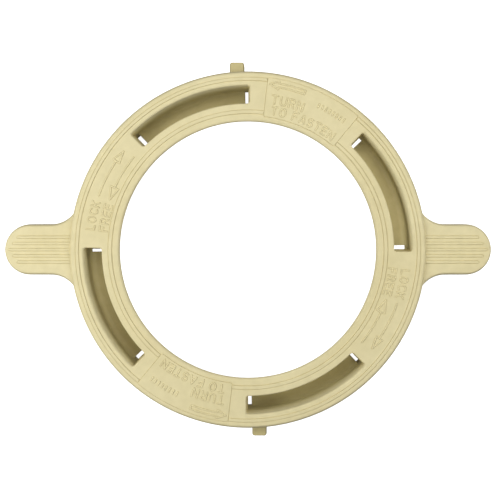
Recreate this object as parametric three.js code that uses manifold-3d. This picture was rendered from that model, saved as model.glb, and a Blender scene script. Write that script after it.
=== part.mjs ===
// Cam-and-ramp locking ring for a strainer lid: one moulding, divided into its functional features.
//
// Millimetres, +Z up. The origin is on the ring's axis in the plane of its lower rim. +X points at the
// right handle, and angles are counted anticlockwise from +X, seen from above.
//
// The ring drops over the rim of a round pot. Four ramps at the foot of the ring hook under four lugs
// on the pot, and a clockwise turn of the two handles draws the face plate down on the lid.

import * as THREE from "three";
import { mergeVertices } from "three/addons/utils/BufferGeometryUtils.js";
import Module from "manifold-3d";

const wasm = await Module();
wasm.setup();

// ---- Driving dimensions -------------------------------------------------------------------------

const OVERALL_LENGTH = 382; // tip to tip over both handles
const FACE_Z = 34; // top of the face plate above the lower rim
const PLATE_THICKNESS = 4;
const RELIEF = 0.5; // height of the beads and grip ribs
const PAD_RELIEF = 0.8; // height of the label pads with their raised signs
const GAP = 0.3; // between neighbouring solids

const BORE_RADIUS = 100.1; // the view opening, where the clear lid shows
const OUTER_RADIUS = 139.3; // of the skirt, just under its rounded shoulder
const SHOULDER_RADIUS = 3;
const SEAM_RADIUS = 135.5; // where the face plate ends and the skirt's flange begins
const SKIRT_WALL = 3.2;
const SKIRT_DRAFT = 0.7; // how far the skirt leans out over its whole height

const WINDOW_COUNT = 4;
const WINDOW_SPAN = 44.9; // degrees. The first window starts on the +X axis
const WINDOW_INNER_RADIUS = 114;
const WINDOW_OUTER_RADIUS = 128;
const SLIT_ANGLE = 1.2; // see-through slit between a ramp's end and its window's end, degrees

const CAM_WALL = 3;
const CAM_WALL_DRAFT = 0.3; // how far the cam wall leans in over its whole height
const CAM_WALL_MARGIN = 1.4; // degrees past the window at each end
const END_RETURN = { thickness: 1.6, bottom: 16 }; // closes a window's end, above the path of the lugs
const RAMP_THICKNESS = 3.5;
const RAMP_RISE = 6;
const RAMP_LAND_ANGLE = 9; // level stretch at the high end, where a locked lug rests, degrees
const RAMP_INNER_RADIUS = 114.8;

const LID_LAND = { inner: 101.5, outer: 104.5, height: 2.5 }; // presses on the lid's flange
const INNER_BEAD = { inner: 106, outer: 108.8 };
const OUTER_BEAD = { inner: 131.8, outer: 134.3 };
const PAD = { inner: 104.5, outer: 134.8, start: 50.4, end: 83.3 }; // angles in degrees

const HANDLE_HALF_WIDTH = 19.9;
const HANDLE_TOP_Z = FACE_Z - SHOULDER_RADIUS;
const HANDLE_DEPTH = 19;
const HANDLE_SHELL = 3.2;
const HANDLE_EDGE = 1.6; // chamfer round the handle's outline
const ROOT_FILLET_RADIUS = 22;
const ROOT_FILLET_X = 154.7; // where the handle's straight side runs into its root fillet
const GRIP_RIB = { count: 5, pitch: 4.85, width: 2, tipMargin: 3.7, stagger: 3.4 };

const LUG = { outer: 149, bottom: 4, top: 20, width: 11.6, corner: 1.8, aside: 9 };

const STIFFENER_THICKNESS = 2.4;
const PLATE_RIB_DEPTH = 5;
const CIRCLE_SEGMENTS = 96;

const PLATE_BOTTOM_Z = FACE_Z - PLATE_THICKNESS;
const OVERLAP = 1; // how deep a stiffener reaches into the piece that it is joined to

// ---- Material -----------------------------------------------------------------------------------

/** Satin almond-coloured plastic, which the whole ring is moulded from. */
function almondPlastic() {
  return new THREE.MeshStandardMaterial({ color: 0xe6d8a8, roughness: 0.5, metalness: 0 });
}

// ---- Geometry helpers ---------------------------------------------------------------------------

const radians = THREE.MathUtils.degToRad;

/** A closed geometry as a manifold solid. */
function solidOf(geometry) {
  const bare = geometry.clone();
  bare.deleteAttribute("normal");
  bare.deleteAttribute("uv");
  const merged = mergeVertices(bare, 1e-4);
  return new wasm.Manifold(
    new wasm.Mesh({
      numProp: 3,
      vertProperties: new Float32Array(merged.getAttribute("position").array),
      triVerts: new Uint32Array(merged.index.array),
    }),
  );
}

/** A manifold solid as a geometry with its own normals. */
function geometryOf(solid) {
  const mesh = solid.getMesh();
  const geometry = new THREE.BufferGeometry();
  geometry.setAttribute("position", new THREE.BufferAttribute(mesh.vertProperties, 3));
  geometry.setIndex(new THREE.BufferAttribute(mesh.triVerts, 1));
  geometry.computeVertexNormals();
  return geometry;
}

/** A full ring about Z from a closed section of [radius, height] points. */
function revolve(section) {
  const points = [...section, section[0]].map(([radius, height]) => new THREE.Vector2(radius, height));
  return new THREE.LatheGeometry(points, CIRCLE_SEGMENTS).rotateX(Math.PI / 2);
}

/** The outline of a ring's sector between two radii and two angles in degrees. */
function sectorShape(inner, outer, start, end) {
  const shape = new THREE.Shape();
  shape.absarc(0, 0, outer, radians(start), radians(end), false);
  shape.absarc(0, 0, inner, radians(end), radians(start), true);
  shape.closePath();
  return shape;
}

/** A sector of a ring, standing from one height to another. */
function sector(inner, outer, start, end, bottom, top) {
  const degreesPerSegment = 360 / CIRCLE_SEGMENTS;
  return new THREE.ExtrudeGeometry(sectorShape(inner, outer, start, end), {
    depth: top - bottom,
    bevelEnabled: false,
    curveSegments: Math.max(2, Math.ceil((end - start) / degreesPerSegment)),
  }).translate(0, 0, bottom);
}

/** An upright plate along a radius at an angle in degrees. */
function radialPlate(inner, outer, angle, thickness, bottom, top) {
  return new THREE.BoxGeometry(outer - inner, thickness, top - bottom)
    .translate((inner + outer) / 2, 0, (bottom + top) / 2)
    .rotateZ(radians(angle));
}

/** Moves every vertex by a rule that is given its angle in degrees, radius and height. */
function reshape(geometry, rule) {
  const position = geometry.getAttribute("position");
  for (let i = 0; i < position.count; i++) {
    const x = position.getX(i);
    const y = position.getY(i);
    const angle = Math.atan2(y, x);
    const moved = rule(THREE.MathUtils.radToDeg(angle), Math.hypot(x, y), position.getZ(i));
    position.setXYZ(i, moved.radius * Math.cos(angle), moved.radius * Math.sin(angle), moved.height);
  }
  return geometry;
}

/** One solid from a first geometry and any number joined to it. */
function joined(first, ...others) {
  return others.reduce((whole, other) => whole.add(solidOf(other)), solidOf(first));
}

const part = new THREE.Group();

function addMesh(name, geometry) {
  const mesh = new THREE.Mesh(geometry, almondPlastic());
  mesh.name = name;
  part.add(mesh);
  return mesh;
}

// ---- Face plate ---------------------------------------------------------------------------------

/** The angles, in degrees, at which the four windows start. */
const windowStarts = Array.from({ length: WINDOW_COUNT }, (_, i) => (i * 360) / WINDOW_COUNT);

/** The annular plate with its rounded bore, its lid land and the stiffeners between the windows. */
function facePlate() {
  const edge = 0.8;
  const landBottom = PLATE_BOTTOM_Z - LID_LAND.height;
  let plate = solidOf(
    revolve([
      [BORE_RADIUS, PLATE_BOTTOM_Z + edge],
      [BORE_RADIUS + edge, PLATE_BOTTOM_Z],
      [LID_LAND.inner, PLATE_BOTTOM_Z],
      [LID_LAND.inner, landBottom],
      [LID_LAND.outer, landBottom],
      [LID_LAND.outer, PLATE_BOTTOM_Z],
      [SEAM_RADIUS - GAP, PLATE_BOTTOM_Z],
      [SEAM_RADIUS - GAP, FACE_Z],
      [BORE_RADIUS + edge, FACE_Z],
      [BORE_RADIUS, FACE_Z - edge],
    ]),
  );
  const betweenWindows = 360 / WINDOW_COUNT - WINDOW_SPAN;
  for (const start of windowStarts) {
    const end = start + WINDOW_SPAN;
    for (const share of [0.25, 0.5, 0.75]) {
      const rib = radialPlate(
        LID_LAND.outer - OVERLAP,
        SEAM_RADIUS - GAP,
        end + share * betweenWindows,
        STIFFENER_THICKNESS,
        PLATE_BOTTOM_Z - PLATE_RIB_DEPTH,
        PLATE_BOTTOM_Z + OVERLAP,
      );
      plate = plate.add(solidOf(rib));
    }
    const cutter = sector(
      WINDOW_INNER_RADIUS,
      WINDOW_OUTER_RADIUS,
      start,
      end,
      PLATE_BOTTOM_Z - OVERLAP,
      FACE_Z + OVERLAP,
    );
    plate = plate.subtract(solidOf(cutter));
  }
  return geometryOf(plate);
}

/** The raised beads and label pads. The beads run on each side from one pad to the other. */
function addRelief() {
  const clear = 0.2; // degrees
  const sides = [
    ["left", PAD.end + clear, PAD.start + 180 - clear],
    ["right", PAD.end - 180 + clear, PAD.start - clear],
  ];
  for (const [side, start, end] of sides) {
    for (const [name, bead] of [["inner_bead", INNER_BEAD], ["outer_bead", OUTER_BEAD]]) {
      addMesh(`${name}_${side}`, sector(bead.inner, bead.outer, start, end, FACE_Z, FACE_Z + RELIEF));
    }
  }
  for (const [name, turn] of [["label_pad_rear", 0], ["label_pad_front", 180]]) {
    const [start, end] = [PAD.start + turn, PAD.end + turn];
    addMesh(name, sector(PAD.inner, PAD.outer, start, end, FACE_Z, FACE_Z + PAD_RELIEF));
  }
}

// ---- Skirt --------------------------------------------------------------------------------------

/** The outer wall, with a rounded shoulder and a short flange that meets the face plate. */
function outerSkirt() {
  const foot = 0.6;
  const shoulderSteps = 4;
  const footRadius = OUTER_RADIUS + SKIRT_DRAFT;
  const wallInner = OUTER_RADIUS - SKIRT_WALL;
  const shoulder = Array.from({ length: shoulderSteps + 1 }, (_, i) => {
    const turn = (Math.PI / 2) * (i / shoulderSteps);
    return [
      OUTER_RADIUS - SHOULDER_RADIUS * (1 - Math.cos(turn)),
      FACE_Z - SHOULDER_RADIUS * (1 - Math.sin(turn)),
    ];
  });
  return revolve([
    [footRadius - SKIRT_WALL, 0],
    [footRadius - foot, 0],
    [footRadius, foot],
    ...shoulder,
    [SEAM_RADIUS, FACE_Z],
    [SEAM_RADIUS, PLATE_BOTTOM_Z],
    [wallInner, PLATE_BOTTOM_Z],
  ]);
}

// ---- Cam walls and ramps ------------------------------------------------------------------------

/** The wall that carries a ramp, with its returns and the webs that tie it to the skirt. */
function camWall(start) {
  const outer = WINDOW_OUTER_RADIUS + CAM_WALL;
  const first = start - CAM_WALL_MARGIN;
  const last = start + WINDOW_SPAN + CAM_WALL_MARGIN;
  const wall = reshape(
    sector(WINDOW_OUTER_RADIUS, outer, first, last, 0, PLATE_BOTTOM_Z),
    (angle, radius, height) => {
      const depth = (PLATE_BOTTOM_Z - height) / PLATE_BOTTOM_Z;
      return { radius: radius < outer - 1 ? radius - CAM_WALL_DRAFT * depth : radius, height };
    },
  );
  const webs = [0.04, 0.35, 0.65, 0.96].map((share) =>
    radialPlate(
      outer - OVERLAP,
      OUTER_RADIUS - SKIRT_WALL - GAP,
      first + share * (last - first),
      STIFFENER_THICKNESS,
      PLATE_RIB_DEPTH,
      PLATE_BOTTOM_Z,
    ),
  );
  const halfTurn = THREE.MathUtils.radToDeg(END_RETURN.thickness / 2 / WINDOW_INNER_RADIUS);
  const returns = [start - halfTurn, start + WINDOW_SPAN + halfTurn].map((angle) =>
    radialPlate(
      WINDOW_INNER_RADIUS,
      WINDOW_OUTER_RADIUS + OVERLAP,
      angle,
      END_RETURN.thickness,
      END_RETURN.bottom,
      PLATE_BOTTOM_Z,
    ),
  );
  return geometryOf(joined(wall, ...webs, ...returns));
}

/** The ledge that hooks under a lug. It climbs anticlockwise and ends in a level land. */
function camRamp(start) {
  const outer = WINDOW_OUTER_RADIUS - CAM_WALL_DRAFT - GAP;
  const first = start + SLIT_ANGLE;
  const last = start + WINDOW_SPAN - SLIT_ANGLE;
  const climb = (angle) => {
    const turned = THREE.MathUtils.euclideanModulo(angle - first + 1, 360) - 1;
    return RAMP_RISE * Math.min(1, Math.max(0, turned / (last - first - RAMP_LAND_ANGLE)));
  };
  const ledge = reshape(
    sector(RAMP_INNER_RADIUS, outer, first, last, 0, RAMP_THICKNESS),
    (angle, radius, height) => ({ radius, height: height + climb(angle) }),
  );
  const gussets = [0.4, 0.7, 0.97].map((share) => {
    const angle = first + share * (last - first);
    const top = climb(angle) + RAMP_THICKNESS / 2;
    return radialPlate(RAMP_INNER_RADIUS + 2, outer - 0.2, angle, STIFFENER_THICKNESS, 0, top);
  });
  return geometryOf(joined(ledge, ...gussets));
}

// ---- Handles ------------------------------------------------------------------------------------

/** A handle's outline in plan, drawn in from its sides by an inset. It runs into the skirt at its root. */
function handleShape(inset) {
  const halfWidth = HANDLE_HALF_WIDTH - inset;
  const tipX = OVERALL_LENGTH / 2 - HANDLE_HALF_WIDTH;
  const filletY = HANDLE_HALF_WIDTH + ROOT_FILLET_RADIUS;
  const filletRadius = ROOT_FILLET_RADIUS + inset;
  const sweep = radians(155);
  const shape = new THREE.Shape();
  shape.absarc(ROOT_FILLET_X, -filletY, filletRadius, sweep, Math.PI / 2, true);
  shape.absarc(tipX, 0, halfWidth, -Math.PI / 2, Math.PI / 2, false);
  shape.absarc(ROOT_FILLET_X, filletY, filletRadius, -Math.PI / 2, -sweep, true);
  shape.closePath();
  return shape;
}

/** A hollow paddle, open below, with two ribs inside and grip ribs on top. */
function handle() {
  const bottom = HANDLE_TOP_Z - HANDLE_DEPTH;
  const curveSegments = 10;
  const body = new THREE.ExtrudeGeometry(handleShape(HANDLE_EDGE), {
    depth: HANDLE_DEPTH - 2 * HANDLE_EDGE,
    bevelSize: HANDLE_EDGE,
    bevelThickness: HANDLE_EDGE,
    bevelSegments: 1,
    curveSegments,
  }).translate(0, 0, bottom + HANDLE_EDGE);
  const pocket = new THREE.ExtrudeGeometry(handleShape(HANDLE_SHELL), {
    depth: HANDLE_DEPTH - HANDLE_SHELL + OVERLAP,
    bevelEnabled: false,
    curveSegments,
  }).translate(0, 0, bottom - OVERLAP);
  let hollow = solidOf(pocket);
  for (const side of [-1, 1]) {
    const rib = new THREE.BoxGeometry(OVERALL_LENGTH / 4, STIFFENER_THICKNESS, HANDLE_DEPTH)
      .translate(OVERALL_LENGTH * 0.4, side * HANDLE_HALF_WIDTH / 3, HANDLE_TOP_Z - HANDLE_DEPTH / 3);
    hollow = hollow.subtract(solidOf(rib));
  }
  const skirtRoom = new THREE.CylinderGeometry(
    OUTER_RADIUS + GAP,
    OUTER_RADIUS + SKIRT_DRAFT + GAP,
    FACE_Z,
    CIRCLE_SEGMENTS,
  ).rotateX(Math.PI / 2).translate(0, 0, FACE_Z / 2);
  return joined(body, ...gripRibs()).subtract(hollow).subtract(solidOf(skirtRoom));
}

/** The raised grip ribs. The middle one reaches furthest towards the round tip. */
function gripRibs() {
  return Array.from({ length: GRIP_RIB.count }, (_, i) => {
    const place = i - (GRIP_RIB.count - 1) / 2;
    const rootX = SEAM_RADIUS;
    const endX = OVERALL_LENGTH / 2 - GRIP_RIB.tipMargin - GRIP_RIB.stagger * Math.abs(place);
    return new THREE.BoxGeometry(endX - rootX, GRIP_RIB.width, RELIEF + OVERLAP)
      .translate((rootX + endX) / 2, place * GRIP_RIB.pitch, HANDLE_TOP_Z + (RELIEF - OVERLAP) / 2);
  });
}

// ---- Index lugs ---------------------------------------------------------------------------------

/** A small block with rounded outer corners that points at the pot's alignment mark. */
function indexLug() {
  const root = OUTER_RADIUS + SKIRT_DRAFT + GAP;
  const near = LUG.aside - LUG.width / 2;
  const far = LUG.aside + LUG.width / 2;
  const shape = new THREE.Shape();
  shape.absarc(LUG.outer - LUG.corner, near + LUG.corner, LUG.corner, -Math.PI / 2, 0, false);
  shape.absarc(LUG.outer - LUG.corner, far - LUG.corner, LUG.corner, 0, Math.PI / 2, false);
  shape.lineTo(Math.sqrt(root ** 2 - far ** 2), far);
  shape.lineTo(Math.sqrt(root ** 2 - near ** 2), near);
  shape.closePath();
  return new THREE.ExtrudeGeometry(shape, {
    depth: LUG.top - LUG.bottom,
    bevelEnabled: false,
    curveSegments: 4,
  }).translate(0, 0, LUG.bottom);
}

// ---- Assembly -----------------------------------------------------------------------------------

addMesh("face_plate", facePlate());
addRelief();
addMesh("outer_skirt", outerSkirt());

windowStarts.forEach((start, i) => {
  addMesh(`cam_wall_${i + 1}`, camWall(start));
  addMesh(`cam_ramp_${i + 1}`, camRamp(start));
});

const handleGeometry = geometryOf(handle());
addMesh("right_handle", handleGeometry);
addMesh("left_handle", handleGeometry).rotation.z = Math.PI;

const lugGeometry = indexLug();
addMesh("index_lug_rear", lugGeometry).rotation.z = Math.PI / 2;
addMesh("index_lug_front", lugGeometry).rotation.z = -Math.PI / 2;

export default part;
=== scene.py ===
"""Looks of a cam-and-ramp locking ring for a strainer lid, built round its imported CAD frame.

The ring is one moulding of almond-coloured plastic. The CAD frame gives each feature's place and size, and
this script makes its fine surface: fillets, draft, raised signs and the plastic itself. Lengths are in
metres and angles in degrees, counted anticlockwise from +X as seen from above.
"""

import math

import bmesh
import bpy
from mathutils import Matrix, Vector

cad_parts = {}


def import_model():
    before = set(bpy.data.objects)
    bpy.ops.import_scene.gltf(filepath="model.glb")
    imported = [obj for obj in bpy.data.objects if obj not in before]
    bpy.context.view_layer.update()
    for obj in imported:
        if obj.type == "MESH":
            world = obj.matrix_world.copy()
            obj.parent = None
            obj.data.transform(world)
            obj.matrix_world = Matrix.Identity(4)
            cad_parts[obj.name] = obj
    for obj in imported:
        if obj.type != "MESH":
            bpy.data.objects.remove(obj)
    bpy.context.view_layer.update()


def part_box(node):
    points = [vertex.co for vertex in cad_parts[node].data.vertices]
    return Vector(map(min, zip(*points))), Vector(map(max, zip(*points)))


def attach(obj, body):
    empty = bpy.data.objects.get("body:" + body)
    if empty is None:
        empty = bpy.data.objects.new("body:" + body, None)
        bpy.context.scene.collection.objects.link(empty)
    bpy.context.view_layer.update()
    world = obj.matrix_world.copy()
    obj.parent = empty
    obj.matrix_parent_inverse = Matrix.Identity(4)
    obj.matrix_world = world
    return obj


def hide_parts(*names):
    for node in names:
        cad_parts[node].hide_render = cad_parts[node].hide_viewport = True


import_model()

# ---- Sizes --------------------------------------------------------------------------------------

MM = 0.001

plate_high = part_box("face_plate")[1]
skirt_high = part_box("outer_skirt")[1]
handle_low, handle_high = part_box("right_handle")
bead_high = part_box("outer_bead_right")[1]
pad_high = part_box("label_pad_rear")[1]

FACE_Z = plate_high.z
PLATE_THICKNESS = 4 * MM
PLATE_BOTTOM = FACE_Z - PLATE_THICKNESS
SEAM_RADIUS = plate_high.x  # where the face plate passes into the skirt
FOOT_RADIUS = skirt_high.x
SKIRT_DRAFT = 0.35 * MM  # the skirt leans out towards its foot
OUTER_RADIUS = FOOT_RADIUS - SKIRT_DRAFT  # under the shoulder
SHOULDER = (3 * MM, 5.5 * MM)  # width and depth of the rounded outer edge
SKIRT_WALL = 3.2 * MM
BORE_RADIUS = 100.1 * MM
BORE_LIP = 2 * MM  # rounding of the bore's upper edge
RELIEF = bead_high.z - FACE_Z  # of the beads, grip ribs and raised signs
PAD_RELIEF = pad_high.z - FACE_Z - RELIEF  # of a label pad without its signs
SUNK = 0.5 * MM  # how deep raised features and stiffeners reach into what carries them
OVERLAP = 1 * MM  # how far joined solids and cutters reach past the surface that they meet
HAIR = 0.01 * MM  # too little to see, so that two surfaces don't coincide
CREASE = 0.35 * MM  # depth and width of the fine groove round a raised feature

INNER_BEAD = (106 * MM, 108.8 * MM)  # inner and outer radius
OUTER_BEAD = (131.8 * MM, 134.3 * MM)
BEAD_EDGE = 0.42 * MM
BEAD_CORNER = 0.5 * MM
BEAD_CLEARANCE = 0.15  # degrees between a bead's end and a label pad
PAD_RADII = (104.5 * MM, 134.8 * MM)
PAD_ANGLES = (50.4, 83.3)
PAD_EDGE = 0.25 * MM
PAD_CORNER = 1.2 * MM
LID_LAND = (101.5 * MM, 104.5 * MM)
LID_LAND_HEIGHT = 2.5 * MM

WINDOW_STARTS = [90 * i for i in range(4)]
WINDOW_SPAN = 44.9
WINDOW_RADII = (114 * MM, 128 * MM)
WINDOW_CORNER = 2 * MM
# Width and depth of the rounded upper edge on each side of a window.
WINDOW_EDGES = {"inner": (1.1 * MM, 1.3 * MM), "outer": (1.6 * MM, 2 * MM), "end": (0.6 * MM, 1.2 * MM)}

CAM_WALL = 3 * MM
CAM_WALL_LEAN = 0.3 * MM  # inwards, towards its foot
CAM_WALL_MARGIN = 1.4  # degrees past the window at each end
END_RETURN = 1.6 * MM  # thickness of the plate that closes a window's end
END_RETURN_TOP = 1.3 * MM  # how far it stands back from the window, under the face plate
END_RETURN_FOOT = 0.1 * MM  # and how far at its lower edge, because it leans
END_RETURN_BOTTOM = 16 * MM
SLIT_ANGLE = 1.2  # degrees between a ramp's end and its window's end
RAMP_INNER_RADIUS = 114.8 * MM
RAMP_THICKNESS = 3.5 * MM
RAMP_RISE = 6 * MM
RAMP_LAND_ANGLE = 9
RAMP_FILLET = 4.5 * MM  # between a ramp and its wall
RAMP_NOSE = 0.8 * MM  # rounding of its free upper edge
STIFFENER = 2.4 * MM
STIFFENER_DRAFT = 0.4 * MM
PLATE_RIB_DEPTH = 5 * MM
# Where the stiffeners stand, as shares of the stretch that they stiffen.
PLATE_RIB_PLACES = (0.25, 0.5, 0.75)
WEB_PLACES = (0.04, 0.35, 0.65, 0.96)
GUSSET_PLACES = (0.4, 0.7, 0.97)
FREE_EDGE = 0.5 * MM  # rounding of the plain lower edges
SKIRT_FOOT_EDGE = 0.7 * MM
CAM_WALL_END = 0.8 * MM  # rounding of its upright ends
RAMP_LOWER_EDGE = 0.6 * MM
RAMP_END = 0.5 * MM
GUSSET_SETBACK = 2 * MM  # from the ramp's inner edge

HANDLE_TIP = handle_high.x
HANDLE_HALF_WIDTH = 19.9 * MM
HANDLE_TOP = handle_high.z - RELIEF
HANDLE_BOTTOM = handle_low.z
HANDLE_SHELL = 3.2 * MM
HANDLE_DRAFT = 0.4 * MM
HANDLE_EDGE = (2.4 * MM, 5 * MM)  # width and depth of its rounding
HANDLE_RIM = 0.6 * MM  # rounding of its lower edge, outside
HANDLE_ROOT = 0.6 * MM  # how far it reaches into the skirt
ROOT_FILLET = 22 * MM
ROOT_FILLET_X = 154.7 * MM
GRIP_RIB_PITCH = 4.85 * MM
GRIP_RIB_WIDTH = 2 * MM
GRIP_RIB_EDGE = 0.4 * MM
GRIP_RIB_TIP_MARGIN = 3.7 * MM
GRIP_RIB_STAGGER = 3.4 * MM  # how much further from the tip each next rib ends

LUG_REACH = 149 * MM
LUG_WIDTH = 11.6 * MM
LUG_ASIDE = 9 * MM  # from the ring's centre line to the lug's
LUG_CORNER = 1.8 * MM
LUG_TOP_EDGE = (1.2 * MM, 4 * MM)  # width and depth of its rounding
LUG_LOWER_EDGE = 0.7 * MM

HANDLE_TURNS = {"right": 0, "left": 180}
PAD_TURNS = {"rear": 0, "front": 180}

ROUND_STEPS = 360  # round the whole ring
SECTOR_STEPS = 46  # along a window's edge
SHARP_ANGLE = 38  # edges that turn by more than this are shaded sharp


# ---- Points and outlines ------------------------------------------------------------------------

def polar(radius, angle, height=0.0):
    """The point at a radius, an angle and a height."""
    turn = math.radians(angle)
    return Vector((radius * math.cos(turn), radius * math.sin(turn), height))


def spread(start, end, steps):
    """Evenly spaced values from start to end, both included."""
    return [start + (end - start) * i / steps for i in range(steps + 1)]


def arc(centre, radius, start, end, steps):
    """Points on an arc in plan."""
    return [Vector(centre) + Vector(polar(radius, a).xy) for a in spread(start, end, steps)]


def rounded(corners, steps=4):
    """A closed outline whose corners, each (x, y, radius), are rounded. Radius 0 leaves a corner sharp."""
    points = []
    for i, (x, y, radius) in enumerate(corners):
        corner = Vector((x, y))
        if radius == 0:
            points.append(corner)
            continue
        back = (Vector(corners[i - 1][:2]) - corner).normalized()
        ahead = (Vector(corners[(i + 1) % len(corners)][:2]) - corner).normalized()
        half = back.angle(ahead) / 2
        centre = corner + (back + ahead).normalized() * radius / math.sin(half)
        first = (corner + back * radius / math.tan(half) - centre).normalized()
        last = (corner + ahead * radius / math.tan(half) - centre).normalized()
        points += [centre + first.slerp(last, share) * radius for share in spread(0, 1, steps)]
    return points


def edge_rounding(width, steps=4, depth=None):
    """(inset, drop) pairs of a rounded edge, from its top face down to its side. It is round unless it has
    a depth, which makes it elliptical."""
    depth = depth or width
    turns = [math.radians(a) for a in spread(0, 90, steps)]
    return [(width * (1 - math.sin(t)), depth * (1 - math.cos(t))) for t in turns]


def sector_outline(radii, angles, corner, steps=SECTOR_STEPS):
    """The plan outline of a ring's sector with rounded corners."""
    (inner, outer), (start, end) = radii, angles
    points = []
    for radius, toward, first, last in ((inner, 1, start, end), (outer, -1, end, start)):
        turn = math.degrees(corner / radius) * (1 if last > first else -1)
        quarter = edge_rounding(1)
        points += [polar(radius + toward * corner * rise, first + turn * run) for rise, run in quarter]
        points += [polar(radius, a) for a in spread(first + turn, last - turn, steps)][1:-1]
        points += [polar(radius + toward * corner * rise, last - turn * run) for rise, run in reversed(quarter)]
    return points


def growing_sector(radii, angles, corner):
    """A sector's outline as a function of how much it is grown outwards."""
    (inner, outer), (start, end) = radii, angles
    steps = round(end - start)

    def outline(grow):
        turn = math.degrees(grow / outer)
        return sector_outline((inner - grow, outer + grow), (start - turn, end + turn), corner + grow, steps)

    return outline


# ---- Meshes -------------------------------------------------------------------------------------

def skins(name, solids, endless=False):
    """A piece made of closed solids. Each is a row of closed loops of points, capped unless it is endless."""
    shell = bmesh.new()
    for loops in solids:
        rows = [[shell.verts.new(point) for point in loop] for loop in loops]
        pairs = list(zip(rows, rows[1:]))
        if endless:
            pairs.append((rows[-1], rows[0]))
        else:
            shell.faces.new(rows[0])
            shell.faces.new(rows[-1])
        for row, following in pairs:
            for i in range(len(row)):
                j = (i + 1) % len(row)
                shell.faces.new((row[i], row[j], following[j], following[i]))
    bmesh.ops.recalc_face_normals(shell, faces=shell.faces)
    mesh = bpy.data.meshes.new(name)
    shell.to_mesh(mesh)
    shell.free()
    piece = bpy.data.objects.new(name, mesh)
    bpy.context.scene.collection.objects.link(piece)
    return piece


def skin(name, loops, endless=False):
    return skins(name, [loops], endless)


def revolve(name, section):
    """A full ring from a closed section of (radius, height) points."""
    turns = [360 * i / ROUND_STEPS for i in range(ROUND_STEPS)]
    return skin(name, [[polar(r, a, z) for r, z in section] for a in turns], endless=True)


def sweep(name, section, start, end, edge):
    """A bar along an arc. section(angle, inset) gives its outline, and edge rounds its two ends."""
    turn = math.degrees(edge / OUTER_RADIUS)
    ends = [(inset, math.degrees(drop / OUTER_RADIUS)) for inset, drop in edge_rounding(edge, 3)]
    stops = [(start + run, inset) for inset, run in ends]
    stops += [(a, 0) for a in spread(start + turn, end - turn, round(end - start))[1:-1]]
    stops += [(end - run, inset) for inset, run in reversed(ends)]
    return skin(name, [[polar(r, a, z) for r, z in section(a, inset)] for a, inset in stops])


def plate_on_edge(name, inner, outer, angle, bottom, top):
    """An upright radial stiffener, thinner at its free lower edge."""
    def loop(height, thickness):
        half = thickness / 2
        corners = [(inner, -half), (outer, -half), (outer, half), (inner, half)]
        return [Matrix.Rotation(math.radians(angle), 3, "Z") @ Vector((x, y, height)) for x, y in corners]

    return skin(name, [loop(bottom, STIFFENER - STIFFENER_DRAFT), loop(top, STIFFENER)])


def combine(piece, others, operation):
    """Joins other solids to a piece, or cuts them out of it, and removes them."""
    for other in others:
        modifier = piece.modifiers.new("combine", "BOOLEAN")
        modifier.operation = operation
        modifier.solver = "MANIFOLD"
        modifier.object = other
    graph = bpy.context.evaluated_depsgraph_get()
    combined = bpy.data.meshes.new_from_object(piece.evaluated_get(graph))
    piece.modifiers.clear()
    piece.data = combined
    for other in others:
        bpy.data.objects.remove(other)
    return piece


def smooth(piece):
    """Shades a piece smooth, but keeps its flat faces flat and its sharp edges sharp."""
    piece.data.shade_smooth()
    piece.data.set_sharp_from_angle(angle=math.radians(SHARP_ANGLE))
    modifier = piece.modifiers.new("flat_faces_stay_flat", "WEIGHTED_NORMAL")
    modifier.keep_sharp = True
    return piece


def raised(name, outline, face, height, edge):
    """A low raised feature with a rounded top edge. outline(grow) is its plan outline, grown outwards."""
    levels = [(0, -SUNK)] + [(-inset, height - drop) for inset, drop in reversed(edge_rounding(edge, 3))]
    return skin(name, [[Vector((p.x, p.y, face + z)) for p in outline(grow)] for grow, z in levels])


def crease(outline, face):
    """What the fine groove round a raised feature takes out of a face."""
    levels = [(2 * CREASE, CREASE), (0, -CREASE)]
    return skin("cutter", [[Vector((p.x, p.y, face + z)) for p in outline(grow)] for grow, z in levels])


# ---- Plastic ------------------------------------------------------------------------------------

FLOW_TONES = [(0.35, (0.770, 0.680, 0.390)), (0.65, (0.800, 0.715, 0.425))]
MOTTLE_TONES = [(0.3, (0.93, 0.93, 0.91)), (0.7, (1.0, 1.0, 1.0))]
# Painted shade: below the first height the plastic's colour is darkened and warmed, and above the second it is
# left as it is. This stands in for the shade that falls on the ring's lower, deeper surfaces.
PAINTED_SHADE_HEIGHTS = (18 * MM, 29 * MM)
PAINTED_SHADE_TONES = [(0.0, (0.80, 0.77, 0.63)), (1.0, (1.0, 1.0, 1.0))]
NOISE_RANGE = (0.3, 0.7)  # where most of a noise texture's values lie
ROUGHNESS = (0.50, 0.62)
GRAIN_DEPTH = 0.1 * MM
WAVE_DEPTH = 0.4 * MM
BUMP_STRENGTH = 0.12


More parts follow.
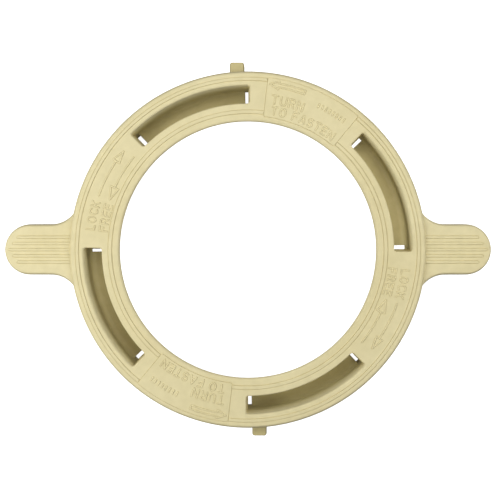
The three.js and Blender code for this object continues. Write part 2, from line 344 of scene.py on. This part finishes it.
def almond_plastic():
    """Satin moulded plastic: faint flow marks, a fine spark-eroded grain and slightly uneven gloss, and painted
    shade that darkens and warms its lower surfaces.
    """
    material = bpy.data.materials.new("almond_plastic")
    material.use_nodes = True
    nodes = material.node_tree.nodes
    links = material.node_tree.links
    shader = nodes["Principled BSDF"]
    shader.inputs["IOR"].default_value = 1.5
    shader.inputs["Specular IOR Level"].default_value = 0.25
    position = nodes.new("ShaderNodeTexCoord").outputs["Object"]

    def noise(scale, detail, stretch=(1, 1, 1)):
        mapping = nodes.new("ShaderNodeMapping")
        mapping.inputs["Scale"].default_value = stretch
        links.new(position, mapping.inputs["Vector"])
        texture = nodes.new("ShaderNodeTexNoise")
        texture.inputs["Scale"].default_value = scale
        texture.inputs["Detail"].default_value = detail
        links.new(mapping.outputs["Vector"], texture.inputs["Vector"])
        return texture.outputs["Fac"]

    def ramp(value, stops):
        node = nodes.new("ShaderNodeValToRGB")
        for element, (place_on_ramp, colour) in zip(node.color_ramp.elements, stops):
            element.position = place_on_ramp
            element.color = (*colour, 1)
        links.new(value, node.inputs["Fac"])
        return node.outputs["Color"]

    def rescaled(value, source, target=(0, 1)):
        node = nodes.new("ShaderNodeMapRange")
        node.inputs["From Min"].default_value = source[0]
        node.inputs["From Max"].default_value = source[1]
        node.inputs["To Min"].default_value = target[0]
        node.inputs["To Max"].default_value = target[1]
        links.new(value, node.inputs["Value"])
        return node.outputs["Result"]

    def multiplied(first, second):
        node = nodes.new("ShaderNodeMix")
        node.data_type = "RGBA"
        node.blend_type = "MULTIPLY"
        sockets = {socket.name: socket for socket in node.inputs if socket.enabled}
        sockets["Factor"].default_value = 1.0
        links.new(first, sockets["A"])
        links.new(second, sockets["B"])
        return next(socket for socket in node.outputs if socket.enabled)

    def bumped(height, depth, below=None):
        node = nodes.new("ShaderNodeBump")
        node.inputs["Strength"].default_value = BUMP_STRENGTH
        node.inputs["Distance"].default_value = depth
        links.new(height, node.inputs["Height"])
        if below is not None:
            links.new(below, node.inputs["Normal"])
        return node.outputs["Normal"]

    flow = ramp(noise(14, 3, (1, 1, 2.5)), FLOW_TONES)
    mottle = ramp(noise(160, 4), MOTTLE_TONES)
    # Painted shade: the colour darkens and warms towards the bottom, by height.
    axes = nodes.new("ShaderNodeSeparateXYZ")
    links.new(position, axes.inputs["Vector"])
    painted_shade = ramp(rescaled(axes.outputs["Z"], PAINTED_SHADE_HEIGHTS), PAINTED_SHADE_TONES)
    links.new(multiplied(multiplied(flow, mottle), painted_shade), shader.inputs["Base Color"])
    links.new(rescaled(noise(90, 3), NOISE_RANGE, ROUGHNESS), shader.inputs["Roughness"])
    grain = bumped(noise(2600, 2), GRAIN_DEPTH)
    links.new(bumped(noise(70, 1), WAVE_DEPTH, grain), shader.inputs["Normal"])
    return material


PLASTIC = almond_plastic()


def place(piece, *nodes):
    """Gives a finished piece the plastic, and lets it stand for its CAD nodes."""
    piece.data.materials.clear()
    piece.data.materials.append(PLASTIC)
    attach(piece, "root")
    if nodes:
        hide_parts(*nodes)
    return piece


# ---- Raised signs -------------------------------------------------------------------------------

STROKE_WIDTH = 1.2 * MM
MOAT = 0.22 * MM  # width and depth of the fine groove round a stroke
STROKE_SIDES = 12
LETTER_GAP = 0.38  # between letters, as a share of their height
CORNER_TURN = 35  # a stroke that turns by more than this has a corner

WORD_START = 352.6  # of the words beside a handle, which are counted from the handle
TURNING_LETTERS = 6 * MM
LOCK_RADIUS = 120.7 * MM
LOCK_ARROW = (340, 326, 321.6)  # angles of its tail, neck and tip
FREE_RADIUS = 110.6 * MM
FREE_ARROW = (321, 335, 340)

# A pad's words, each with its radius, the angle where it starts and the height of its letters.
PAD_WORDS = (
    ("TURN", 115.3 * MM, 80.8, 6.6 * MM),
    ("TO", 106.8 * MM, 80.2, 6.2 * MM),
    ("FASTEN", 106.8 * MM, 71.4, 6.2 * MM),
)
POINTER_RADIUS = 130.1 * MM
POINTER = (70, 79.3, 82.4)  # angles of its tail, neck and tip
POINTER_BODY = 1.5 * MM  # half its width
POINTER_HEAD = 3.2 * MM
PIP_RADII = (123.4 * MM, 126.4 * MM)
PIP_ANGLES = (63.8, 53.4)
PIP_COUNT = 8


def bow(x, y, width, height, start, end):
    """Points on a part of an ellipse, in letter units."""
    turns = [math.radians(a) for a in spread(start, end, 12)]
    return [(x + width * math.cos(t), y + height * math.sin(t)) for t in turns]


# Each letter is 1 high, and is its width and its strokes.
LETTERS = {
    "A": (0.7, [[(0, 0), (0.35, 1), (0.7, 0)], [(0.12, 0.35), (0.58, 0.35)]]),
    "C": (0.62, [bow(0.35, 0.5, 0.35, 0.5, 45, 315)]),
    "E": (0.55, [[(0.55, 1), (0, 1), (0, 0), (0.55, 0)], [(0, 0.52), (0.45, 0.52)]]),
    "F": (0.55, [[(0.55, 1), (0, 1), (0, 0)], [(0, 0.52), (0.45, 0.52)]]),
    "K": (0.6, [[(0, 0), (0, 1)], [(0.58, 1), (0, 0.4)], [(0.2, 0.6), (0.6, 0)]]),
    "L": (0.52, [[(0, 1), (0, 0), (0.52, 0)]]),
    "N": (0.65, [[(0, 0), (0, 1), (0.65, 0), (0.65, 1)]]),
    "O": (0.7, [bow(0.35, 0.5, 0.35, 0.5, 0, 360)]),
    "R": (0.6, [[(0, 0), (0, 1)] + bow(0.32, 0.75, 0.25, 0.25, 90, -90) + [(0, 0.5)],
                [(0.3, 0.5), (0.6, 0)]]),
    "S": (0.56, [bow(0.28, 0.74, 0.26, 0.26, 30, 270) + bow(0.28, 0.25, 0.28, 0.25, 90, -150)]),
    "T": (0.64, [[(0, 1), (0.64, 1)], [(0.32, 1), (0.32, 0)]]),
    "U": (0.62, [[(0, 1)] + bow(0.31, 0.3, 0.31, 0.3, 180, 360) + [(0.62, 1)]]),
}


def without_corners(points):
    """Splits a line at its sharp corners, into parts that overlap there."""
    parts = [[points[0]]]
    for i in range(1, len(points) - 1):
        parts[-1].append(points[i])
        if (points[i] - points[i - 1]).angle(points[i + 1] - points[i]) > math.radians(CORNER_TURN):
            parts.append([points[i]])
    parts[-1].append(points[-1])
    return parts


def stroke_loops(points, height, half, rise):
    """Loops along a stroke with an elliptical section, centred on a face, and with rounded ends."""
    steps = [(b - a).normalized() for a, b in zip(points, points[1:])]
    ends = [(half - drop, half - inset) for inset, drop in edge_rounding(half, 3)[1:]]
    stops = [(points[0] - steps[0] * beyond, steps[0], wide) for beyond, wide in ends]
    for point, before, after in zip(points[1:-1], steps, steps[1:]):
        stops.append((point, (before + after).normalized(), half))
    stops += [(points[-1] + steps[-1] * beyond, steps[-1], wide) for beyond, wide in reversed(ends)]
    loops = []
    for point, along, wide in stops:
        aside = Vector((-along.y, along.x))
        loop = []
        for a in spread(0, 360, STROKE_SIDES)[:-1]:
            over = point + aside * wide * math.cos(math.radians(a))
            loop.append(Vector((over.x, over.y, height + rise * wide / half * math.sin(math.radians(a)))))
        loops.append(loop)
    return loops


def stroke_parts(lines):
    """The smooth parts of a sign's strokes. Each line is a list of (radius, angle) points."""
    return [
        part
        for line in lines
        for part in without_corners([Vector(polar(radius, angle).xy) for radius, angle in line])
    ]


def strokes(name, lines, height):
    """Raised strokes in one piece, half sunk in a face."""
    solids = [stroke_loops(part, height, STROKE_WIDTH / 2, RELIEF) for part in stroke_parts(lines)]
    return place(smooth(skins(name, solids)))


def moats(lines, height):
    """What the fine grooves round raised strokes take out of a face."""
    half = STROKE_WIDTH / 2 + MOAT
    return [skin("cutter", stroke_loops(part, height, half, MOAT)) for part in stroke_parts(lines)]


def word_lines(text, radius, start, size):
    """The strokes of a word that reads clockwise along an arc, with the tops of its letters outwards."""
    lines = []
    along = 0.0
    for letter in text:
        width, drawn = LETTERS[letter]
        for line in drawn:
            lines.append([
                (radius + y * size, start - math.degrees((along + x) * size / radius)) for x, y in line
            ])
        along += width + LETTER_GAP
    return lines


def arc_line(radius, start, end):
    """A stroke along an arc, with a point every degree or so."""
    return [(radius, a) for a in spread(start, end, max(2, round(abs(end - start))))]


def arrow_lines(radius, angles, half_width):
    """An arrow along an arc, with an outlined triangular head."""
    tail, neck, tip = angles
    barb = [(radius - half_width, neck), (radius, tip), (radius + half_width, neck)]
    return [arc_line(radius, tail, neck), [*barb, barb[0]]]


def pointer_lines(radius, angles):
    """A broad arrow in outline, which points at the lug beside the pad."""
    tail, neck, tip = angles
    outer = [*arc_line(radius + POINTER_BODY, tail, neck), (radius + POINTER_HEAD, neck), (radius, tip)]
    inner = [(radius - POINTER_HEAD, neck), *arc_line(radius - POINTER_BODY, neck, tail)]
    return [[*outer, *inner, outer[0]]]


def turned(angles, turn):
    return [angle + turn for angle in angles]


def turning_signs(turn):
    """The two rows beside a handle, each a word and an arrow: clockwise to lock, and back to free."""
    locking = word_lines("LOCK", LOCK_RADIUS, WORD_START + turn, TURNING_LETTERS)
    locking += arrow_lines(LOCK_RADIUS + 0.45 * TURNING_LETTERS, turned(LOCK_ARROW, turn), 2.8 * MM)
    freeing = word_lines("FREE", FREE_RADIUS, WORD_START + turn, TURNING_LETTERS)
    freeing += arrow_lines(FREE_RADIUS + 0.62 * TURNING_LETTERS, turned(FREE_ARROW, turn), 3.2 * MM)
    return {"lock": locking, "free": freeing}


def pad_signs(turn):
    """A pad's instruction, its pointer and a row of plain pips."""
    instruction = []
    for word, radius, start, size in PAD_WORDS:
        instruction += word_lines(word, radius, start + turn, size)
    pointer = pointer_lines(POINTER_RADIUS, turned(POINTER, turn))
    pips = [[(radius, angle + turn) for radius in PIP_RADII] for angle in spread(*PIP_ANGLES, PIP_COUNT - 1)]
    return {"instruction": instruction, "pointer": pointer, "pips": pips}


def signs():
    for side, turn in HANDLE_TURNS.items():
        for sign, lines in turning_signs(turn).items():
            strokes(f"sign_{sign}_{side}", lines, FACE_Z)
    for side, turn in PAD_TURNS.items():
        for sign, lines in pad_signs(turn).items():
            strokes(f"sign_{sign}_{side}", lines, FACE_Z + PAD_RELIEF)


# ---- Face plate ---------------------------------------------------------------------------------

def window_cutter(start):
    """What a window takes out of the face plate: its opening, flared by the rounded upper edge."""
    inner, outer = WINDOW_RADII

    def outline(depth, height):
        def flare(side):
            wide, painted_shade = WINDOW_EDGES[side]
            return wide * (1 - math.sqrt(1 - (1 - min(depth / painted_shade, 1.0)) ** 2))

        turn = math.degrees((END_RETURN_TOP + flare("end")) / inner)
        radii = (inner - flare("inner"), outer + flare("outer"))
        angles = (start - turn, start + WINDOW_SPAN + turn)
        return [Vector((p.x, p.y, height)) for p in sector_outline(radii, angles, WINDOW_CORNER)]

    deepest = max(painted_shade for _, painted_shade in WINDOW_EDGES.values())
    depths = [deepest * (1 - math.cos(math.radians(a))) for a in spread(0, 90, 9)]
    above = [outline(0, FACE_Z + OVERLAP), outline(0, FACE_Z + HAIR)]
    edge = [outline(depth, FACE_Z - depth) for depth in depths[1:]]
    below = [outline(deepest, PLATE_BOTTOM - OVERLAP)]
    return skin("cutter", above + edge + below)


def bead_outlines():
    """The two raised beads on each side, which stop short of the label pads."""
    start, end = PAD_ANGLES
    first, last = end + BEAD_CLEARANCE, start + 180 - BEAD_CLEARANCE
    sides = {"left": (first, last), "right": (first - 180, last - 180)}
    rings = {"inner_bead": INNER_BEAD, "outer_bead": OUTER_BEAD}
    return {
        f"{ring}_{side}": growing_sector(radii, angles, BEAD_CORNER)
        for side, angles in sides.items()
        for ring, radii in rings.items()
    }


def pad_outlines():
    """The slightly raised panels that carry the instructions."""
    start, end = PAD_ANGLES
    return {
        f"label_pad_{side}": growing_sector(PAD_RADII, (start + turn, end + turn), PAD_CORNER)
        for side, turn in PAD_TURNS.items()
    }


def face_plate():
    land_bottom = PLATE_BOTTOM - LID_LAND_HEIGHT
    section = rounded([
        (BORE_RADIUS, PLATE_BOTTOM, FREE_EDGE),
        (LID_LAND[0], PLATE_BOTTOM, 0.3 * MM),
        (LID_LAND[0], land_bottom, 0.4 * MM),
        (LID_LAND[1], land_bottom, 0.4 * MM),
        (LID_LAND[1], PLATE_BOTTOM, 0.8 * MM),
        (SEAM_RADIUS, PLATE_BOTTOM, 0),
        (SEAM_RADIUS, FACE_Z, 0),
        (BORE_RADIUS, FACE_Z, BORE_LIP),
    ])
    plate = revolve("face_plate_moulded", section)
    between = 90 - WINDOW_SPAN
    ribs = [
        plate_on_edge(
            "rib",
            LID_LAND[1] - OVERLAP,
            SEAM_RADIUS,
            start + WINDOW_SPAN + share * between,
            PLATE_BOTTOM - PLATE_RIB_DEPTH,
            PLATE_BOTTOM + OVERLAP,
        )
        for start in WINDOW_STARTS
        for share in PLATE_RIB_PLACES
    ]
    combine(plate, ribs, "UNION")
    combine(plate, [window_cutter(start) for start in WINDOW_STARTS], "DIFFERENCE")
    features = [*bead_outlines().values(), *pad_outlines().values()]
    grooves = [crease(outline, FACE_Z) for outline in features]
    for turn in HANDLE_TURNS.values():
        for lines in turning_signs(turn).values():
            grooves += moats(lines, FACE_Z)
    combine(plate, grooves, "DIFFERENCE")
    place(smooth(plate), "face_plate")


def beads():
    for name, outline in bead_outlines().items():
        place(smooth(raised(f"{name}_moulded", outline, FACE_Z, RELIEF, BEAD_EDGE)), name)


def label_pads():
    outlines = pad_outlines()
    for side, turn in PAD_TURNS.items():
        name = f"label_pad_{side}"
        pad = raised(f"{name}_moulded", outlines[name], FACE_Z, PAD_RELIEF, PAD_EDGE)
        level = FACE_Z + PAD_RELIEF
        grooves = [moat for lines in pad_signs(turn).values() for moat in moats(lines, level)]
        place(smooth(combine(pad, grooves, "DIFFERENCE")), name)


# ---- Skirt, cam walls and ramps -----------------------------------------------------------------

def outer_skirt():
    width, depth = SHOULDER
    foot = rounded([
        (OUTER_RADIUS - SKIRT_WALL, PLATE_BOTTOM, 0),
        (FOOT_RADIUS - SKIRT_WALL, 0, FREE_EDGE),
        (FOOT_RADIUS, 0, SKIRT_FOOT_EDGE),
        (OUTER_RADIUS, FACE_Z - depth, 0),
    ])
    rounding = reversed(edge_rounding(width, 10, depth))
    shoulder = [(OUTER_RADIUS - inset, FACE_Z - drop) for inset, drop in rounding]
    section = foot[:-1] + shoulder + [(SEAM_RADIUS, FACE_Z), (SEAM_RADIUS, PLATE_BOTTOM)]
    place(smooth(revolve("outer_skirt_moulded", section)), "outer_skirt")


def wall_radius(height):
    """The cam walls' inner radius, which is smaller towards their foot."""
    return WINDOW_RADII[1] - CAM_WALL_LEAN * (PLATE_BOTTOM - height) / PLATE_BOTTOM


def end_return(angle, away):
    """The leaning plate that closes a window's end. away is 1 or -1, the turn that leads off the window."""
    inner, outer = WINDOW_RADII[0], WINDOW_RADII[1] + OVERLAP
    loops = []
    for height, back in ((END_RETURN_BOTTOM, END_RETURN_FOOT), (PLATE_BOTTOM, END_RETURN_TOP)):
        face = angle + away * math.degrees(back / inner)
        behind = face + away * math.degrees(END_RETURN / inner)
        corners = [(inner, face), (outer, face), (outer, behind), (inner, behind)]
        loops.append([polar(radius, turn, height) for radius, turn in corners])
    return skin("end_return", loops)


def cam_wall(number, start):
    back = WINDOW_RADII[1] + CAM_WALL
    angles = (start - CAM_WALL_MARGIN, start + WINDOW_SPAN + CAM_WALL_MARGIN)

    def section(_, inset):
        return rounded([
            (wall_radius(0) + inset, 0, FREE_EDGE),
            (back - inset, 0, FREE_EDGE),
            (back - inset, PLATE_BOTTOM, 0),
            (wall_radius(PLATE_BOTTOM) + inset, PLATE_BOTTOM, 0),
        ])

    wall = sweep(f"cam_wall_{number}_moulded", section, *angles, CAM_WALL_END)
    returns = [end_return(start, -1), end_return(start + WINDOW_SPAN, 1)]
    webs = [
        plate_on_edge(
            "web",
            back - OVERLAP,
            OUTER_RADIUS - SKIRT_WALL + SUNK,
            angles[0] + share * (angles[1] - angles[0]),
            PLATE_RIB_DEPTH,
            PLATE_BOTTOM,
        )
        for share in WEB_PLACES
    ]
    place(smooth(combine(wall, webs + returns, "UNION")), f"cam_wall_{number}")


def cam_ramp(number, start):
    """The ledge that hooks under a lug. It climbs anticlockwise and ends in a level land."""
    first, last = start + SLIT_ANGLE, start + WINDOW_SPAN - SLIT_ANGLE

    def climb(angle):
        share = (angle - first) / (last - first - RAMP_LAND_ANGLE)
        return RAMP_RISE * min(1.0, max(0.0, share))

    def section(angle, inset):
        bottom = climb(angle)
        top = bottom + RAMP_THICKNESS
        fillet_top = top + RAMP_FILLET + 2 * HAIR
        face = wall_radius(fillet_top) - 5 * HAIR
        return rounded([
            (RAMP_INNER_RADIUS + inset, bottom + inset, RAMP_LOWER_EDGE),
            (face + OVERLAP, bottom + inset, 0),
            (face + OVERLAP, fillet_top - inset, 0),
            (face, fillet_top - inset, 0),
            (face, top - inset, RAMP_FILLET - 10 * HAIR),
            (RAMP_INNER_RADIUS + inset, top - inset, RAMP_NOSE),
        ])

    ledge = sweep(f"cam_ramp_{number}_moulded", section, first, last, RAMP_END)
    gussets = [
        plate_on_edge(
            "gusset",
            RAMP_INNER_RADIUS + GUSSET_SETBACK,
            wall_radius(0) + SUNK,
            first + share * (last - first),
            0,
            climb(first + share * (last - first)) + RAMP_THICKNESS / 2,
        )
        for share in GUSSET_PLACES
    ]
    place(smooth(combine(ledge, gussets, "UNION")), f"cam_ramp_{number}")


# ---- Handles ------------------------------------------------------------------------------------

def handle_outline(inset, height):
    """A right handle's outline at a height. Its root lies inside the skirt's wall."""
    half_width = HANDLE_HALF_WIDTH - inset
    tip_x = HANDLE_TIP - HANDLE_HALF_WIDTH
    fillet = ROOT_FILLET + inset
    centre = Vector((ROOT_FILLET_X, HANDLE_HALF_WIDTH + ROOT_FILLET))
    root = OUTER_RADIUS - HANDLE_ROOT
    # Law of cosines, for where the fillet's circle meets the root's circle round the ring's axis.
    cosine = (centre.length**2 + fillet**2 - root**2) / (2 * centre.length * fillet)
    toward_axis = 180 + math.degrees(math.atan2(centre.y, centre.x))
    meets = toward_axis + math.degrees(math.acos(cosine))
    upper = arc(centre, fillet, 270, meets, 14)
    lower = [Vector((p.x, -p.y)) for p in reversed(upper)]
    root_angle = math.degrees(math.atan2(upper[-1].y, upper[-1].x))
    root_arc = arc((0, 0), root, root_angle, -root_angle, 10)[1:-1]
    tip = arc((tip_x, 0), half_width, -90, 90, 36)
    return [Vector((p.x, p.y, height)) for p in upper + root_arc + lower + tip]


def grip_rib_outlines():
    """Five raised ribs along the right handle. The middle one reaches furthest towards the tip."""
    def rib(y, end_x):
        def outline(grow):
            radius = GRIP_RIB_WIDTH / 2 + grow
            tip = arc((end_x - GRIP_RIB_WIDTH / 2, y), radius, -90, 90, 10)
            return tip + arc((OUTER_RADIUS - 2 * MM, y), radius, 90, 270, 10)

        return outline

    reach = HANDLE_TIP - GRIP_RIB_TIP_MARGIN
    return [rib(row * GRIP_RIB_PITCH, reach - abs(row) * GRIP_RIB_STAGGER) for row in range(-2, 3)]


def handle(side, turn):
    """A hollow paddle, open below, with two ribs inside."""
    ceiling = HANDLE_TOP - HANDLE_SHELL
    inside = [
        (HANDLE_SHELL + HANDLE_DRAFT + 0.8 * MM, ceiling),
        (HANDLE_SHELL + HANDLE_DRAFT + 0.2 * MM, ceiling - 0.2 * MM),
        (HANDLE_SHELL + HANDLE_DRAFT, ceiling - 0.8 * MM),
        (HANDLE_SHELL, HANDLE_BOTTOM + 0.4 * MM),
        (HANDLE_SHELL - 0.4 * MM, HANDLE_BOTTOM),
    ]
    width, depth = HANDLE_EDGE
    outside = [
        (HANDLE_RIM, HANDLE_BOTTOM),
        (HANDLE_RIM / 4, HANDLE_BOTTOM + HANDLE_RIM / 4),
        (0, HANDLE_BOTTOM + HANDLE_RIM),
    ]
    outside += [(inset, HANDLE_TOP - drop) for inset, drop in reversed(edge_rounding(width, 8, depth))]
    paddle = skin(f"{side}_handle_moulded", [handle_outline(inset, z) for inset, z in inside + outside])
    half = STIFFENER / 2
    root = OUTER_RADIUS - OVERLAP
    reach = HANDLE_TIP - 3.6 * MM  # ends inside the handle's wall
    ribs = []
    for aside in (-HANDLE_HALF_WIDTH / 3, HANDLE_HALF_WIDTH / 3):
        corners = [(root, aside - half), (reach, aside - half), (reach, aside + half), (root, aside + half)]
        levels = (HANDLE_BOTTOM + HANDLE_SHELL, ceiling + OVERLAP)
        ribs.append(skin("rib", [[Vector((x, y, z)) for x, y in corners] for z in levels]))
    combine(paddle, ribs, "UNION")
    combine(paddle, [crease(outline, HANDLE_TOP) for outline in grip_rib_outlines()], "DIFFERENCE")
    paddle.data.transform(Matrix.Rotation(math.radians(turn), 4, "Z"))
    place(smooth(paddle), f"{side}_handle")


def grip_ribs(side, turn):
    for number, outline in enumerate(grip_rib_outlines(), 1):
        rib = raised(f"grip_rib_{side}_{number}", outline, HANDLE_TOP, RELIEF, GRIP_RIB_EDGE)
        rib.data.transform(Matrix.Rotation(math.radians(turn), 4, "Z"))
        place(smooth(rib))


# ---- Index lugs ---------------------------------------------------------------------------------

def index_lug(side, turn):
    """A block with rounded corners that points at the pot's mark."""
    low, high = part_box(f"index_lug_{side}")
    near, far = LUG_ASIDE - LUG_WIDTH / 2, LUG_ASIDE + LUG_WIDTH / 2
    root = OUTER_RADIUS - OVERLAP
    width, depth = LUG_TOP_EDGE
    levels = [(inset, low.z + drop) for inset, drop in edge_rounding(LUG_LOWER_EDGE, 3)]
    levels += [(inset, high.z - drop) for inset, drop in reversed(edge_rounding(width, 6, depth))]
    loops = []
    for inset, height in levels:
        outline = rounded([
            (root, near + inset, 0),
            (LUG_REACH - inset, near + inset, LUG_CORNER),
            (LUG_REACH - inset, far - inset, LUG_CORNER),
            (root, far - inset, 0),
        ], steps=6)
        loops.append([Vector((p.x, p.y, height)) for p in outline])
    lug = skin(f"index_lug_{side}_moulded", loops)
    lug.data.transform(Matrix.Rotation(math.radians(turn), 4, "Z"))
    place(smooth(lug), f"index_lug_{side}")


# ---- The ring -----------------------------------------------------------------------------------

face_plate()
beads()
label_pads()
outer_skirt()
for number, start in enumerate(WINDOW_STARTS, 1):
    cam_wall(number, start)
    cam_ramp(number, start)
for side, turn in HANDLE_TURNS.items():
    handle(side, turn)
    grip_ribs(side, turn)
index_lug("rear", 90)
index_lug("front", 270)
signs()


# ---- Floor, light and camera --------------------------------------------------------------------

FLOOR_HALF_SIZE = 4  # wide enough to fill every view
SOFTBOX_DISTANCE = 0.8
SOFTBOX_SIZE = 0.4
# Each softbox's azimuth, elevation and power in watts.
SOFTBOXES = {
    "left": (180, 40, 3.3),
    "right": (0, 40, 1.7),
    "far": (90, 62, 1.55),
    "far_right": (45, 40, 1.3),
    "near": (270, 62, 0.1),
    "near_right": (315, 40, 0.4),
    "near_left": (225, 40, 1.05),
}
# The width and power of each disc of light that the white table sends up.
TABLE_GLOWS = {"inside": (2 * (BORE_RADIUS - 5 * MM), 0.038), "around": (700 * MM, 0.075)}
WORLD_STRENGTH = 0.25
EYE = (9 * MM, 23 * MM, FACE_Z + 630 * MM)
FOCAL_LENGTH = 58.3
SHIFT = (-0.019, -0.0596)

def floor():
    """A pale lit table."""
    size = FLOOR_HALF_SIZE
    corners = [(-size, -size, 0), (size, -size, 0), (size, size, 0), (-size, size, 0)]
    mesh = bpy.data.meshes.new("floor")
    mesh.from_pydata(corners, [], [(0, 1, 2, 3)])
    table = bpy.data.objects.new("floor", mesh)
    bpy.context.scene.collection.objects.link(table)
    material = bpy.data.materials.new("floor")
    material.use_nodes = True
    shader = material.node_tree.nodes["Principled BSDF"]
    shader.inputs["Base Color"].default_value = (0.85, 0.85, 0.85, 1)
    shader.inputs["Roughness"].default_value = 0.9
    shader.inputs["Emission Color"].default_value = (1, 1, 1, 1)
    shader.inputs["Emission Strength"].default_value = 1
    mesh.materials.append(material)
    table.visible_diffuse = False
    table.visible_glossy = False


def lamp(name, shape, size, power):
    """A soft lamp that shines down until it is turned."""
    light = bpy.data.lights.new(name, "AREA")
    light.shape = shape
    light.size = size
    light.energy = power
    holder = bpy.data.objects.new(name, light)
    bpy.context.scene.collection.objects.link(holder)
    return holder


def softboxes():
    """Square soft lights round the table, which point at the ring's middle."""
    aim = Vector((0, 0, FACE_Z))
    for name, (azimuth, elevation, power) in SOFTBOXES.items():
        rise = math.radians(elevation)
        place_at = polar(SOFTBOX_DISTANCE * math.cos(rise), azimuth, SOFTBOX_DISTANCE * math.sin(rise))
        box = lamp(f"{name}_softbox", "SQUARE", SOFTBOX_SIZE, power)
        box.location = place_at
        box.rotation_euler = (aim - place_at).to_track_quat("-Z", "Y").to_euler()


def table_glows():
    """Light that the white table sends up, inside the ring and around it."""
    for name, (width, power) in TABLE_GLOWS.items():
        glow = lamp(f"table_glow_{name}", "DISK", width, power)
        glow.location = (0, 0, 1 * MM)
        glow.rotation_euler = (math.pi, 0, 0)
        glow.visible_camera = False


def world():
    """A grey studio, which is seen but lights nothing."""
    studio = bpy.data.worlds.new("studio")
    studio.use_nodes = True
    background = studio.node_tree.nodes["Background"]
    background.inputs["Color"].default_value = (1, 1, 1, 1)
    background.inputs["Strength"].default_value = WORLD_STRENGTH
    studio.cycles_visibility.diffuse = False
    studio.cycles_visibility.glossy = False
    bpy.context.scene.world = studio


def camera():
    """Looks straight down on the ring, from a little to the right of its axis and behind it."""
    lens = bpy.data.cameras.new("camera")
    lens.lens = FOCAL_LENGTH
    lens.sensor_width = 36
    lens.shift_x, lens.shift_y = SHIFT
    lens.clip_start = 0.01
    lens.clip_end = 20
    eye = bpy.data.objects.new("camera", lens)
    eye.location = EYE
    bpy.context.scene.collection.objects.link(eye)
    bpy.context.scene.camera = eye


floor()
softboxes()
table_glows()
world()
camera()
bpy.context.scene.view_settings.view_transform = "Standard"
bpy.context.scene.cycles.use_denoising = True
